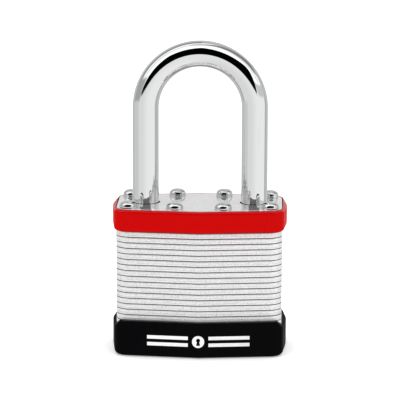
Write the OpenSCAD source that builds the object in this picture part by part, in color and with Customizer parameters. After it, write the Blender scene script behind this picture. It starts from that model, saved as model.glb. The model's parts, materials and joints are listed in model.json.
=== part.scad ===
// Laminated steel padlock: a riveted stack of plates with a long shackle,
// a five-pin brass cylinder, two locking bolts, a top band and a bottom cover.
// Millimetres, Z up. The origin is under the middle of the flat base.
// It is drawn closed, with the plug turned to the open position.

/* [Plates] */
// Width of a plate, side to side
body_w = 44; // [42:1:60]
// Depth of a plate at its middle, front ridge to back ridge
body_d = 26; // [25:0.5:36]
// How far each face falls back per millimetre from the middle ridge
face_slope = 0.12; // [0.04:0.01:0.15]
// Radius of a plate's corners
corner_r = 4; // [3:0.5:5]
// Thickness of one plate
plate_t = 1.5; // [1.4:0.05:2]

/* [Rivets] */
// Radius of a rivet's shank
rivet_r = 1.25; // [0.8:0.05:1.4]
// Radius of a rivet's head
rivet_head_r = 2.25; // [1.8:0.05:2.4]
// Height of the domed heads on top
rivet_head_h = 1.85; // [1:0.05:2]
// Height of the flatter heads underneath
rivet_foot_h = 1.2; // [0.8:0.1:1.3]
// Distance of the outer rivets from the sides
rivet_side = 3.2; // [3.1:0.1:4]
// Distance of every rivet from the front or back face
rivet_edge = 2.5; // [2.4:0.1:3]
// Distance of the inner rivets from the middle line
rivet_inner_x = 6.35; // [5.5:0.05:7]

/* [Top band and bottom cover] */
// Wall of the band and of the cover, at the middle of each side
skin_wall = 1.4; // [1.2:0.1:2]
// How much thinner the two short walls are at their ends
side_bulge = 0.7; // [0.3:0.1:0.8]
// Outer radius of the band's and the cover's corners
skin_corner_r = 3.6; // [3:0.1:4.5]
// Height of the top band
band_h = 5.7; // [4:0.1:8]
// Distance of the band's rim below the top plate's face
band_drop = 0.1; // [0:0.05:0.5]
// Height of the bottom cover
cover_h = 9.4; // [6:0.1:14]
// How much lower the cover's two short walls are
shoulder_drop = 1.6; // [0.8:0.1:2.2]
// Thickness of the cover's floor
floor_t = 2; // [1.8:0.1:3]
// Radius of the opening under the keyway
port_r = 7; // [6:0.1:7.2]

/* [Shackle] */
// Diameter of the shackle rod
rod_d = 7; // [6:0.1:8.4]
// Distance between the centres of the two legs
leg_span = 29; // [26:0.5:34]
// Free height inside the shackle, above the top plate
clearance = 36.5; // [20:0.5:60]
// Clearance between a leg and its bore, on the radius
leg_gap = 0.3; // [0.2:0.05:0.4]
// Depth of the slot that keeps the heel leg in
slot_depth = 1.2; // [0.9:0.1:1.4]
// Width of the slot that keeps the heel leg in
slot_w = 3; // [2.4:0.1:3.4]
// Depth of the notch that each bolt enters
notch_depth = 1.4; // [1.2:0.1:1.5]

/* [Cylinder] */
// Radius of the plug
plug_r = 5; // [4.8:0.1:6]
// Wall of the housing around the plug
housing_wall = 1.55; // [1.2:0.05:1.8]
// How far the cylinder's axis lies in front of the legs' line
plug_offset = 1; // [0.5:0.1:1.4]
// Distance between neighbouring pins
pin_pitch = 3.8; // [3.4:0.05:3.9]
// Diameter of a pin
pin_d = 2.8; // [2.4:0.05:2.9]
// Lengths of the five key pins, from the keyway's mouth up
pin_cuts = [2.4, 3.0, 3.6, 2.7, 3.3]; // [2.2:0.1:3.8]
// Length of a driver pin
driver_len = 3; // [2.6:0.1:3.2]
// Width of the keyway
keyway_w = 2.2; // [1.6:0.1:2.4]
// Running gap between the parts of the cylinder
run_gap = 0.05; // [0.03:0.01:0.08]

/* [Locking bolts] */
// Width of a bolt
bolt_w = 5; // [4.4:0.1:6]
// How far a bolt travels
bolt_travel = 1.5; // [1.2:0.1:1.6]

/* [Springs] */
// Wire of the shackle's spring
heel_wire = 0.8; // [0.6:0.05:0.9]
// Wire of a pin's spring
pin_wire = 0.3; // [0.2:0.05:0.35]

/* [Hidden] */
$fn = 64;

// The stack, counted in plates from the bottom. Each value is the last plate of its zone.
mouth_plates = 1;    // round hole for the plug's nose
housing_plates = 16; // cut out for the cylinder housing
stem_plates = 18;    // round hole for the plug's stem
bolt_plates = 21;    // slot for the bolts and the cam
plate_count = 25;    // the last four close the top

eps = 0.5;      // how far a cutter runs past the face it cuts
slack = 0.05;   // gap of a close fit that doesn't move
hair = 0.02;    // gap that keeps a pin off the shear line
loose = 0.15;   // gap of a sliding fit, on each side

function plate_z(i) = floor_t + plate_t * (i - 1);
stack_top = plate_z(plate_count + 1);
housing_z0 = plate_z(mouth_plates + 1);
housing_z1 = plate_z(housing_plates + 1);
pocket_z0 = plate_z(stem_plates + 1);
pocket_z1 = plate_z(bolt_plates + 1);
pocket_mid = (pocket_z0 + pocket_z1) / 2;

// Plan of a plate: straight sides, a shallow ridge front and back, round corners
face_len = sqrt(1 + face_slope * face_slope);
corner_x = body_w / 2 - corner_r;
corner_y = body_d / 2 - face_slope * corner_x - corner_r * face_len;

// Plan of the band and the cover: a shallow ridge on all four sides, round corners
side_slope = side_bulge / corner_y;
side_len = sqrt(1 + side_slope * side_slope);
skin_side = body_w / 2 + skin_wall;
skin_ridge = body_d / 2 + skin_wall * face_len;
skin_reach_x = skin_side - skin_corner_r * side_len;
skin_reach_y = skin_ridge - skin_corner_r * face_len;
skin_cy = (skin_reach_y - face_slope * skin_reach_x) / (1 - face_slope * side_slope);
skin_cx = skin_reach_x - side_slope * skin_cy;
shoulder_in = body_w / 2 - 1.1;             // where the cover's rim starts to fall
shoulder_out = body_w / 2 + 0.3;            // where it is at its lowest
rivet_pocket = floor_t - rivet_foot_h - 2 * loose;

// Rivets
rivet_outer_x = body_w / 2 - rivet_side;
function face_y(x) = body_d / 2 - face_slope * x;
rivet_outer_y = face_y(rivet_outer_x) - rivet_edge;
rivet_inner_y = face_y(rivet_inner_x) - rivet_edge;

// Shackle
rod_r = rod_d / 2;
leg_x = leg_span / 2;
bore_r = rod_r + leg_gap;
bow_z = stack_top + clearance + rod_r - leg_x;
toe_gap = 0.5;                              // under the toe, and over the top when it is open
toe_z = housing_z1 + toe_gap;
lift = stack_top - housing_z1;
tip_bevel = 0.8;
notch_mouth = pocket_z1 - pocket_z0 + eps;
notch_floor = notch_mouth - 2 * notch_depth;
tooth_z0 = plate_z(stem_plates);
slot_z1 = tooth_z0 + plate_t + 2 * loose;
slot_z0 = tooth_z0 - lift - 2 * loose;
groove_r = rod_r - slot_depth;
groove_h = 4 * plate_t;
heel_head = 3.5;
heel_z = slot_z0 - heel_head;
tooth_len = slot_depth - loose;

// Cylinder
plug_y = -plug_offset;
housing_r = plug_r + run_gap + housing_wall;
chamber_r = pin_d / 2 + run_gap;
chamber_wall = 1.75;
block_w = 2 * (chamber_r + chamber_wall);
shear_r = plug_r + run_gap + hair;          // where the driver pins start
key_pin_top = sqrt(plug_r * plug_r - pin_d * pin_d / 4) - hair;
key_pin_stop = 0.6;                         // lowest place of a key pin's tip
spring_space = 2.9;                         // length of a pin's spring
pin_turns = 5;
pin_steps = 12;                             // rings in one turn of a pin's spring
pin_sides = 6;                              // faces round its wire
heel_turns = 6;
heel_steps = 14;                            // rings in one turn of the shackle's spring
heel_sides = 8;                             // faces round its wire
pin_point = 1;                              // length of a key pin's tapered tip
strip_t = 0.8;                              // strip that closes the chambers
strip_w = 4.4;
strip_r = shear_r + driver_len + spring_space + slack;
block_end = plug_y + strip_r + strip_t;
function pin_z(i) = (housing_z0 + housing_z1) / 2 + (i - 3) * pin_pitch;
nose_r = plug_r - 0.5;                      // stepped in, so that the plug can't be drawn out
nose_lift = 4 * slack;                      // gap between the nose and the cover's floor
keyway_cap = 2 * plate_t;                   // solid end of the plug above the keyway
ward = 0.6;                                 // height of a ward's step
ward_near = 0.6;                            // where the lower step starts, from the axis
ward_far = 2.6;                             // where the upper step starts, from the axis
keyway_back = key_pin_stop + 1;             // how far the keyway runs past the axis
stem_r = 2.4;
tenon = 2.6;

// Cam and bolts
bolt_h = pocket_z1 - pocket_z0 - 2 * loose;
bolt_nose_h = bolt_h - 2 * (notch_depth - slack);
bolt_tip = leg_x - bore_r - 2 * slack;      // drawn back, inside the bore's wall
bolt_bevel = notch_depth - slack;
cam_long = 3.65;                            // half lengths of the cam's oval
cam_short = 2.2;
cam_step = 7.5;                             // degrees between the corners of the oval
bolt_back = cam_long + loose + slack * 3 - bolt_travel;
cam_room = cam_long + 2 * loose;

// A plan from its side and ridge and the tangent points of its corners, centred on the origin
module outline(side, ridge, cx, cy, r, side_t, ridge_t) {
    polygon([
        [side, 0], side_t, ridge_t, [0, ridge],
        [-ridge_t.x, ridge_t.y], [-side_t.x, side_t.y], [-side, 0],
        [-side_t.x, -side_t.y], [-ridge_t.x, -ridge_t.y], [0, -ridge],
        [ridge_t.x, -ridge_t.y], [side_t.x, -side_t.y]]);
    for (x = [-cx, cx], y = [-cy, cy]) translate([x, y]) circle(r);
}

module plan(grow = 0) {
    r = corner_r + grow;
    outline(
        body_w / 2 + grow, body_d / 2 + grow * face_len, corner_x, corner_y, r,
        [corner_x + r, corner_y],
        [corner_x + r * face_slope / face_len, corner_y + r / face_len]);
}

module skin_plan() {
    r = skin_corner_r;
    outline(
        skin_side, skin_ridge, skin_cx, skin_cy, r,
        [skin_cx + r / side_len, skin_cy + r * side_slope / side_len],
        [skin_cx + r * face_slope / face_len, skin_cy + r / face_len]);
}

module at_rivets() {
    for (sx = [-1, 1], sy = [-1, 1]) {
        translate([sx * rivet_outer_x, sy * rivet_outer_y]) children();
        translate([sx * rivet_inner_x, sy * rivet_inner_y]) children();
    }
}

module housing_plan(gap = 0) {
    translate([0, plug_y]) circle(housing_r + gap);
    translate([-block_w / 2 - gap, plug_y])
        square([block_w + 2 * gap, block_end - plug_y + gap]);
}

// One plate of the stack, counted from the bottom, with the holes of its zone
module plate(i) {
    color("gainsboro") translate([0, 0, plate_z(i)]) linear_extrude(plate_t) difference() {
        plan();
        at_rivets() circle(rivet_r + slack);
        if (i > mouth_plates) difference() {
            translate([-leg_x, 0]) circle(bore_r);
            if (i == stem_plates)
                translate([-leg_x - bore_r - eps, -slot_w / 2 + loose])
                    square([bore_r - rod_r + tooth_len + eps, slot_w - 2 * loose]);
        }
        if (i > housing_plates) translate([leg_x, 0]) circle(bore_r);
        if (i <= mouth_plates) translate([0, plug_y]) circle(nose_r + 2 * slack);
        if (i > mouth_plates && i <= housing_plates) housing_plan(slack);
        if (i > housing_plates && i <= stem_plates)
            translate([0, plug_y]) circle(stem_r + 2 * loose);
        if (i > stem_plates && i <= bolt_plates) {
            square([leg_span, bolt_w + 2 * loose], center = true);
            translate([0, plug_y]) circle(cam_room);
        }
    }
}

// A rivet's head: the cap of a ball, its flat side at z = 0
module head(r, h) {
    ball = (r * r + h * h) / (2 * h);
    intersection() {
        translate([0, 0, h - ball]) sphere(ball);
        cylinder(h = h + eps, r = r + eps);
    }
}

module rivets() {
    color("lightgray") at_rivets() {
        translate([0, 0, floor_t - slack]) cylinder(h = stack_top - floor_t + 2 * slack, r = rivet_r);
        translate([0, 0, stack_top]) head(rivet_head_r, rivet_head_h);
        translate([0, 0, floor_t]) mirror([0, 0, 1]) head(rivet_head_r, rivet_foot_h);
    }
}

module top_band() {
    color("red") translate([0, 0, stack_top - band_drop - band_h]) linear_extrude(band_h)
        difference() {
            skin_plan();
            plan(slack);
        }
}

// What is cut from the cover's rim over its right wall
module shoulder() {
    low = cover_h - shoulder_drop;
    translate([0, body_d, 0]) rotate([90, 0, 0]) linear_extrude(2 * body_d) polygon([
        [shoulder_in, cover_h], [shoulder_out, low], [skin_side + eps, low],
        [skin_side + eps, cover_h + eps], [shoulder_in, cover_h + eps]]);
}

module bottom_cover() {
    color("black") difference() {
        linear_extrude(cover_h) skin_plan();
        translate([0, 0, floor_t]) linear_extrude(cover_h) plan(slack);
        translate([0, plug_y, -eps]) cylinder(h = floor_t + 2 * eps, r = port_r);
        at_rivets() translate([0, 0, rivet_pocket])
            cylinder(h = floor_t, r = rivet_head_r + 2 * slack);
        shoulder();
        mirror([1, 0, 0]) shoulder();
    }
}

module cylinder_housing() {
    color("goldenrod") difference() {
        translate([0, 0, housing_z0]) linear_extrude(housing_z1 - housing_z0) difference() {
            housing_plan();
            translate([0, plug_y]) circle(plug_r + run_gap);
        }
        for (i = [1:5]) translate([0, plug_y, pin_z(i)])
            rotate([-90, 0, 0]) cylinder(h = strip_r + eps, r = chamber_r);
        translate([-strip_w / 2, plug_y + strip_r, housing_z0 - eps])
            cube([strip_w, strip_t + eps, housing_z1 - housing_z0 + 2 * eps]);
    }
}

module pin_chamber_cover() {
    color("khaki") translate([-strip_w / 2 + slack, plug_y + strip_r, housing_z0])
        cube([strip_w - 2 * slack, strip_t, housing_z1 - housing_z0]);
}

// The plug, drawn turned to the open position: its pin bores face -X
module plug() {
    top = housing_z1 - 2 * slack;
    bottom = housing_z0 + slack;
    color("darkgoldenrod") translate([0, plug_y, 0]) difference() {
        union() {
            translate([0, 0, floor_t + nose_lift]) cylinder(h = plate_t, r = nose_r);
            translate([0, 0, bottom]) cylinder(h = top - bottom, r = plug_r);
            translate([0, 0, top - slack]) cylinder(h = pocket_z0 + slack - top + slack, r = stem_r);
            translate([-tenon / 2, -tenon / 2, pocket_z0])
                cube([tenon, tenon, pocket_z1 - pocket_z0 - 2 * loose]);
        }
        for (i = [1:5]) translate([slack - key_pin_stop, 0, pin_z(i)])
            rotate([0, -90, 0]) cylinder(h = plug_r, r = chamber_r);
        keyway(top - keyway_cap);
    }
}

// The keyway: a slot with one ward step on each side, open towards +X
module keyway(top) {
    w = keyway_w / 2;
    translate([0, 0, floor_t - eps]) linear_extrude(top - floor_t + eps) polygon([
        [-keyway_back, -w + ward], [ward_near, -w + ward], [ward_near, -w],
        [plug_r + eps, -w], [plug_r + eps, w - ward], [ward_far, w - ward],
        [ward_far, w], [-keyway_back, w]]);
}

module cam() {
    color("silver") translate([0, plug_y, pocket_z0 + loose])
        linear_extrude(bolt_h) difference() {
            polygon([for (a = [0:cam_step:360 - cam_step]) [cam_short * cos(a), cam_long * sin(a)]]);
            square(tenon + 2 * slack, center = true);
        }
}

// A bolt, pointing along +X, with a bevelled nose above and below
module bolt() {
    z0 = pocket_z0 + loose;
    color("lightsteelblue") translate([0, bolt_w / 2, 0]) rotate([90, 0, 0])
        linear_extrude(bolt_w) polygon([
            [bolt_back, z0], [bolt_tip - bolt_bevel, z0],
            [bolt_tip, z0 + (bolt_h - bolt_nose_h) / 2],
            [bolt_tip, z0 + (bolt_h + bolt_nose_h) / 2],
            [bolt_tip - bolt_bevel, z0 + bolt_h], [bolt_back, z0 + bolt_h]]);
}

module locking_bolt_right() bolt();
module locking_bolt_left() mirror([1, 0, 0]) bolt();

// A notch in the inner side of a leg, seen from the leg's centre towards +X
module notch() {
    translate([rod_r - notch_depth, rod_d, 0]) rotate([90, 0, 0]) linear_extrude(2 * rod_d)
        polygon([[0, -notch_floor / 2], [notch_depth + eps, -notch_mouth / 2 - eps],
            [notch_depth + eps, notch_mouth / 2 + eps], [0, notch_floor / 2]]);
}

module leg(end_z) {
    translate([0, 0, end_z + tip_bevel]) cylinder(h = bow_z - end_z - tip_bevel, r = rod_r);
    translate([0, 0, end_z]) cylinder(h = tip_bevel, r1 = rod_r - tip_bevel, r2 = rod_r);
}

module shackle() {
    color("whitesmoke") difference() {
        union() {
            translate([-leg_x, 0, 0]) leg(heel_z);
            translate([leg_x, 0, 0]) leg(toe_z);
            translate([0, 0, bow_z]) rotate([90, 0, 0]) rotate_extrude(angle = 180)
                translate([leg_x, 0]) circle(rod_r);
        }
        translate([-leg_x, 0, pocket_mid]) notch();
        translate([leg_x, 0, pocket_mid]) mirror([1, 0, 0]) notch();
        translate([-leg_x - rod_r - eps, -slot_w / 2, slot_z0])
            cube([slot_depth + eps, slot_w, slot_z1 - slot_z0]);
        translate([-leg_x, 0, slot_z0]) difference() {
            cylinder(h = groove_h, r = rod_r + eps);
            translate([0, 0, -eps]) cylinder(h = groove_h + 2 * eps, r = groove_r);
        }
    }
}

// A compression spring along +Z from z = 0, with its wire's centre line on radius r
module spring(r, wire, h, turns, steps, sides) {
    rings = turns * steps;
    rise = (h - wire) / rings;
    points = [for (k = [0:rings]) let (a = 360 * k / steps) for (s = [0:sides - 1])
        let (b = 360 * s / sides, q = r + wire / 2 * cos(b))
        [q * cos(a), q * sin(a), wire / 2 + rise * k + wire / 2 * sin(b)]];
    walls = [for (k = [0:rings - 1], s = [0:sides - 1]) let (t = (s + 1) % sides)
        [k * sides + s, k * sides + t, (k + 1) * sides + t, (k + 1) * sides + s]];
    start = [[for (s = [sides - 1:-1:0]) s]];
    finish = [[for (s = [0:sides - 1]) rings * sides + s]];
    polyhedron(points, concat(walls, start, finish), convexity = 10);
}

module shackle_spring() {
    color("slategray") translate([-leg_x, 0, housing_z0 + slack])
        spring(
            rod_r - tip_bevel / 2 - heel_wire / 2, heel_wire,
            heel_z - housing_z0 - 2 * slack, heel_turns, heel_steps, heel_sides);
}

// A key pin with a pointed tip. Its flat end is at the plug's edge, facing -X
module key_pin(i) {
    straight = pin_cuts[i - 1] - pin_point;
    color("peru") translate([-key_pin_top, plug_y, pin_z(i)]) rotate([0, 90, 0]) {
        cylinder(h = straight, r = pin_d / 2);
        translate([0, 0, straight]) cylinder(h = pin_point, r1 = pin_d / 2, r2 = pin_d / 6);
    }
}

module driver_pin(i) {
    color("silver") translate([0, plug_y + shear_r, pin_z(i)]) rotate([-90, 0, 0])
        cylinder(h = driver_len, r = pin_d / 2);
}

module pin_spring(i) {
    color("slategray") translate([0, plug_y + shear_r + driver_len + slack / 2, pin_z(i)])
        rotate([-90, 0, 0])
            spring(pin_d / 2 - pin_wire, pin_wire, spring_space, pin_turns, pin_steps, pin_sides);
}

plate(1);  // plate_01
plate(2);  // plate_02
plate(3);  // plate_03
plate(4);  // plate_04
plate(5);  // plate_05
plate(6);  // plate_06
plate(7);  // plate_07
plate(8);  // plate_08
plate(9);  // plate_09
plate(10);  // plate_10
plate(11);  // plate_11
plate(12);  // plate_12
plate(13);  // plate_13
plate(14);  // plate_14
plate(15);  // plate_15
plate(16);  // plate_16
plate(17);  // plate_17
plate(18);  // plate_18
plate(19);  // plate_19
plate(20);  // plate_20
plate(21);  // plate_21
plate(22);  // plate_22
plate(23);  // plate_23
plate(24);  // plate_24
plate(25);  // plate_25
rivets();
top_band();
bottom_cover();
cylinder_housing();
pin_chamber_cover();
plug();
cam();
locking_bolt_left();
locking_bolt_right();
shackle();
shackle_spring();
key_pin(1);  // key_pin_1
key_pin(2);  // key_pin_2
key_pin(3);  // key_pin_3
key_pin(4);  // key_pin_4
key_pin(5);  // key_pin_5
driver_pin(1);  // driver_pin_1
driver_pin(2);  // driver_pin_2
driver_pin(3);  // driver_pin_3
driver_pin(4);  // driver_pin_4
driver_pin(5);  // driver_pin_5
pin_spring(1);  // pin_spring_1
pin_spring(2);  // pin_spring_2
pin_spring(3);  // pin_spring_3
pin_spring(4);  // pin_spring_4
pin_spring(5);  // pin_spring_5
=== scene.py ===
"""Laminated padlock: the looks of its pieces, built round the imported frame."""
import json
import math
import random

import bmesh
import bpy
from bpy.props import FloatProperty, FloatVectorProperty, IntProperty, PointerProperty
from bpy.types import Operator, Panel, PropertyGroup
from mathutils import Matrix, Vector


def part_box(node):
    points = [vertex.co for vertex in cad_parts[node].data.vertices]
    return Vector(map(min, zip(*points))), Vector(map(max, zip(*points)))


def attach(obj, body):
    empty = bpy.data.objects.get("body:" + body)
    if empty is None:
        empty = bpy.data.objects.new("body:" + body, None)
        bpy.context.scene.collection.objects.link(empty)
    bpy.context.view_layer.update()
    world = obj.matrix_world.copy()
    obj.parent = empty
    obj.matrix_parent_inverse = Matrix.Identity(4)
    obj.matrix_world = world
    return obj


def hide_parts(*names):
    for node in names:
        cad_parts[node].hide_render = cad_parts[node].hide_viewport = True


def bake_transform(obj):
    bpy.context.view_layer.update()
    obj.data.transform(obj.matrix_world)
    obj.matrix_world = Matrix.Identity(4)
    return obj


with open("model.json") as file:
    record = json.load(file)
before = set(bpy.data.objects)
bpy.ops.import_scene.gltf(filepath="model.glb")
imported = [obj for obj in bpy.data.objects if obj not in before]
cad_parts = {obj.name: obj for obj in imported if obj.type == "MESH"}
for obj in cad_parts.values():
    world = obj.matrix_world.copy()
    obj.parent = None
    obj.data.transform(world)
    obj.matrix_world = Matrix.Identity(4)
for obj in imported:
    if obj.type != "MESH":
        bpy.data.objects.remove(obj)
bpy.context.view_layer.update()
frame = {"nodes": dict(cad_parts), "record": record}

bl_info = {
    "name": "Laminated Padlock",
    "version": (1, 0, 0),
    "blender": (4, 5, 0),
    "location": "View3D > Sidebar > Padlock",
    "description": "Builds a laminated steel padlock with a chromed shackle, plate by plate",
    "category": "Object",
}

MM = 0.001
WELD = 1e-6                      # vertices nearer than this are one
NODES = frame["nodes"]
PLATES = sorted(n for n in NODES if n.startswith("plate_"))
TOP_PLATE = PLATES[-1]
BODY_OF = {n: b for b, ns in frame["record"]["behaviour"]["bodies"].items() for n in ns}


# ---------------------------------------------------------------- settings

class PadlockShape(PropertyGroup):
    """Sizes of the edges and of the small detail."""
    plate_roll: FloatProperty(
        name="Plate rolled edge", description="Radius of the upper edge of a stamped plate",
        default=0.20 * MM, min=0.02 * MM, max=0.5 * MM, unit="LENGTH", precision=5)
    plate_break: FloatProperty(
        name="Plate lower edge", description="Width of the break on a plate's lower edge",
        default=0.12 * MM, min=0.02 * MM, max=0.4 * MM, unit="LENGTH", precision=5)
    plate_shift: FloatProperty(
        name="Plate shift", description="How far a plate may sit out of line with the stack",
        default=0.04 * MM, min=0.0, max=0.1 * MM, unit="LENGTH", precision=5)
    band_top_round: FloatProperty(
        name="Band upper round", description="Rounding of the band's upper outer edge",
        default=1.0 * MM, min=0.1 * MM, max=1.1 * MM, unit="LENGTH", precision=5)
    band_low_round: FloatProperty(
        name="Band lower round", description="Rounding of the band's lower outer edge",
        default=0.75 * MM, min=0.1 * MM, max=1.0 * MM, unit="LENGTH", precision=5)
    cover_top_round: FloatProperty(
        name="Cover upper round", description="Rounding of the cover's upper outer edge",
        default=0.8 * MM, min=0.1 * MM, max=0.9 * MM, unit="LENGTH", precision=5)
    cover_low_round: FloatProperty(
        name="Cover lower round", description="Rounding of the cover's lower outer edge",
        default=1.3 * MM, min=0.1 * MM, max=1.8 * MM, unit="LENGTH", precision=5)
    side_round: FloatProperty(
        name="Side round", description="Size of the flat curve over the ridge of a short wall",
        default=2.0 * MM, min=0.5 * MM, max=3.0 * MM, unit="LENGTH", precision=5)
    band_inner_round: FloatProperty(
        name="Band inner round", description="Rounding of the band's inner edges",
        default=0.15 * MM, min=0.05 * MM, max=0.3 * MM, unit="LENGTH", precision=5)
    port_round: FloatProperty(
        name="Port round", description="Rounding of the opening under the keyway",
        default=0.35 * MM, min=0.05 * MM, max=0.6 * MM, unit="LENGTH", precision=5)
    rod_end_round: FloatProperty(
        name="Shackle end round", description="Rounding of the shackle's two ends",
        default=0.7 * MM, min=0.2 * MM, max=1.5 * MM, unit="LENGTH", precision=5)
    heel_wire: FloatProperty(
        name="Shackle spring's wire", description="Thickness of the wire of the shackle's spring",
        default=0.8 * MM, min=0.4 * MM, max=0.9 * MM, unit="LENGTH", precision=5)
    pin_wire: FloatProperty(
        name="Pin spring's wire", description="Thickness of the wire of a pin's spring",
        default=0.3 * MM, min=0.15 * MM, max=0.35 * MM, unit="LENGTH", precision=5)
    rod_sides: IntProperty(
        name="Shackle sides", description="Number of faces round the shackle's rod",
        default=72, min=24, max=128)


class PadlockFinish(PropertyGroup):
    """Colours of the finishes."""
    zinc: FloatVectorProperty(
        name="Zinc plate", description="Colour of the plated steel plates",
        default=(0.97, 0.97, 0.968), subtype="COLOR", min=0, max=1)
    chrome: FloatVectorProperty(
        name="Chrome", description="Colour of the chromed shackle",
        default=(0.865, 0.875, 0.87), subtype="COLOR", min=0, max=1)
    red: FloatVectorProperty(
        name="Red plastic", description="Colour of the top band",
        default=(0.60, 0.0, 0.0), subtype="COLOR", min=0, max=1)
    black: FloatVectorProperty(
        name="Black plastic", description="Colour of the bottom cover",
        default=(0.0022, 0.0022, 0.0035), subtype="COLOR", min=0, max=1)
    brass: FloatVectorProperty(
        name="Brass", description="Colour of the cylinder's parts",
        default=(0.80, 0.60, 0.28), subtype="COLOR", min=0, max=1)
    steel: FloatVectorProperty(
        name="Bare steel", description="Colour of the hardened parts and the springs",
        default=(0.45, 0.46, 0.48), subtype="COLOR", min=0, max=1)


class PadlockStudio(PropertyGroup):
    """The camera and the light."""
    camera_place: FloatVectorProperty(
        name="Camera", description="Place of the camera", default=(0.0168, -0.600, 0.1561),
        subtype="XYZ", unit="LENGTH")
    camera_pan: FloatProperty(
        name="Pan", description="Turn of the camera to the left", default=math.radians(1.604),
        unit="ROTATION")
    camera_tilt: FloatProperty(
        name="Tilt", description="How far the camera looks down", default=math.radians(10.94),
        unit="ROTATION")
    camera_roll: FloatProperty(
        name="Roll", description="Turn of the camera about its own axis",
        default=math.radians(0.17), unit="ROTATION")
    lens: FloatProperty(
        name="Lens", description="Focal length on a 36 mm sensor, in millimetres", default=205.7)
    softbox: FloatProperty(
        name="Softbox", description="Strength of the overhead softbox", default=16.0, min=0)
    tent: FloatProperty(
        name="Tent", description="Brightness of the white tent in front", default=0.97, min=0)
    gamma: FloatProperty(
        name="Gamma", description="Gamma of the view: lower deepens the dark tones", default=0.75,
        min=0.3, max=2)


# ---------------------------------------------------------------- mesh helpers

def new_piece(name, bm, finish, node, smooth=32, rides=True):
    """Turns a bmesh into a piece that stands for a CAD node and rides on its body."""
    mesh = bpy.data.meshes.new(name)
    bm.to_mesh(mesh)
    bm.free()
    mesh.shade_smooth()
    mesh.set_sharp_from_angle(angle=math.radians(smooth))
    piece = bpy.data.objects.new(name, mesh)
    bpy.context.scene.collection.objects.link(piece)
    piece.data.materials.append(finish)
    if rides:
        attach(piece, BODY_OF[node])
    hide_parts(node)
    return piece


def merged_copy(node):
    """A bmesh of a CAD node with its loose triangles joined and its flat faces whole."""
    bm = bmesh.new()
    bm.from_mesh(NODES[node].data)
    bmesh.ops.remove_doubles(bm, verts=bm.verts, dist=WELD)
    bmesh.ops.dissolve_limit(
        bm, angle_limit=math.radians(0.4), use_dissolve_boundaries=False,
        verts=bm.verts, edges=bm.edges, delimit={"NORMAL"})
    bm.normal_update()
    return bm


def bevel(bm, edges, width, segments):
    """Rounds edges off, and returns the new faces."""
    made = bmesh.ops.bevel(
        bm, geom=list(edges), offset=width, offset_type="OFFSET", segments=segments,
        profile=0.5, affect="EDGES", clamp_overlap=True, material=-1)
    return made["faces"]


def level_edges(bm, z):
    """Edges that lie wholly at height z."""
    return [e for e in bm.edges if all(abs(v.co.z - z) < 10 * WELD for v in e.verts)]


def is_outer(bm, edge):
    """True if an upright face of the convex outline starts at this edge."""
    slack = 0.02 * MM
    for face in edge.link_faces:
        if abs(face.normal.z) < 0.5:
            middle = face.calc_center_median()
            if all((v.co - middle).dot(face.normal) < slack for v in bm.verts):
                return True
    return False


def sharp_edges(bm, degrees):
    """Edges between two faces that turn by more than an angle."""
    limit = math.radians(degrees)
    return [e for e in bm.edges if len(e.link_faces) == 2 and e.calc_face_angle() > limit]


def only(kind, geometry):
    """The vertices, the edges or the faces among an operator's results."""
    return [g for g in geometry if isinstance(g, kind)]


def draw_out(bm, edges, vector):
    """Extrudes edges by a vector, and returns the new edges."""
    made = bmesh.ops.extrude_edge_only(bm, edges=edges)["geom"]
    bmesh.ops.translate(bm, verts=only(bmesh.types.BMVert, made), vec=vector)
    return only(bmesh.types.BMEdge, made)


# ---------------------------------------------------------------- node helpers

class Nodes:
    """Adds and links nodes in a node tree, from left to right."""

    def __init__(self, tree):
        self.tree = tree
        self.x = -1400

    def add(self, kind, inputs=None, **settings):
        node = self.tree.nodes.new(kind)
        self.x += 60
        node.location = (self.x, 0)
        for key, value in settings.items():
            setattr(node, key, value)
        for key, value in (inputs or {}).items():
            self.put(node.inputs[key], value)
        return node

    def put(self, socket, value):
        if hasattr(value, "is_output"):
            self.tree.links.new(value, socket)
        else:
            socket.default_value = value

    def math(self, operation, a, b=0.0, c=0.0, clamp=False):
        node = self.add("ShaderNodeMath", operation=operation, use_clamp=clamp)
        for socket, value in zip(node.inputs, (a, b, c)):
            self.put(socket, value)
        return node.outputs[0]

    def remap(self, value, low, high, to_low=0.0, to_high=1.0, smooth=True):
        kind = "SMOOTHSTEP" if smooth else "LINEAR"
        node = self.add("ShaderNodeMapRange", interpolation_type=kind)
        for key, v in zip(
            ("Value", "From Min", "From Max", "To Min", "To Max"),
            (value, low, high, to_low, to_high),
        ):
            self.put(node.inputs[key], v)
        return node.outputs["Result"]

    def mix(self, factor, a, b):
        node = self.add("ShaderNodeMix", data_type="RGBA")
        self.put(node.inputs[0], factor)
        self.put(node.inputs[6], a)
        self.put(node.inputs[7], b)
        return node.outputs[2]


def colour(rgb, scale=1.0):
    """A colour with full alpha, made lighter or darker by a factor."""
    return tuple(c * scale for c in rgb) + (1.0,)


def group(name, inputs, outputs):
    """A new shader node group, its node helper and its sockets: inputs are (name, default) pairs."""
    tree = bpy.data.node_groups.new(name, "ShaderNodeTree")
    for label, default in inputs:
        kind = "NodeSocketVector" if isinstance(default, tuple) else "NodeSocketFloat"
        socket = tree.interface.new_socket(name=label, in_out="INPUT", socket_type=kind)
        socket.default_value = default
    for label in outputs:
        tree.interface.new_socket(name=label, in_out="OUTPUT", socket_type="NodeSocketFloat")
    nodes = Nodes(tree)
    return tree, nodes, nodes.add("NodeGroupInput").outputs, nodes.add("NodeGroupOutput").inputs


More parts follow.
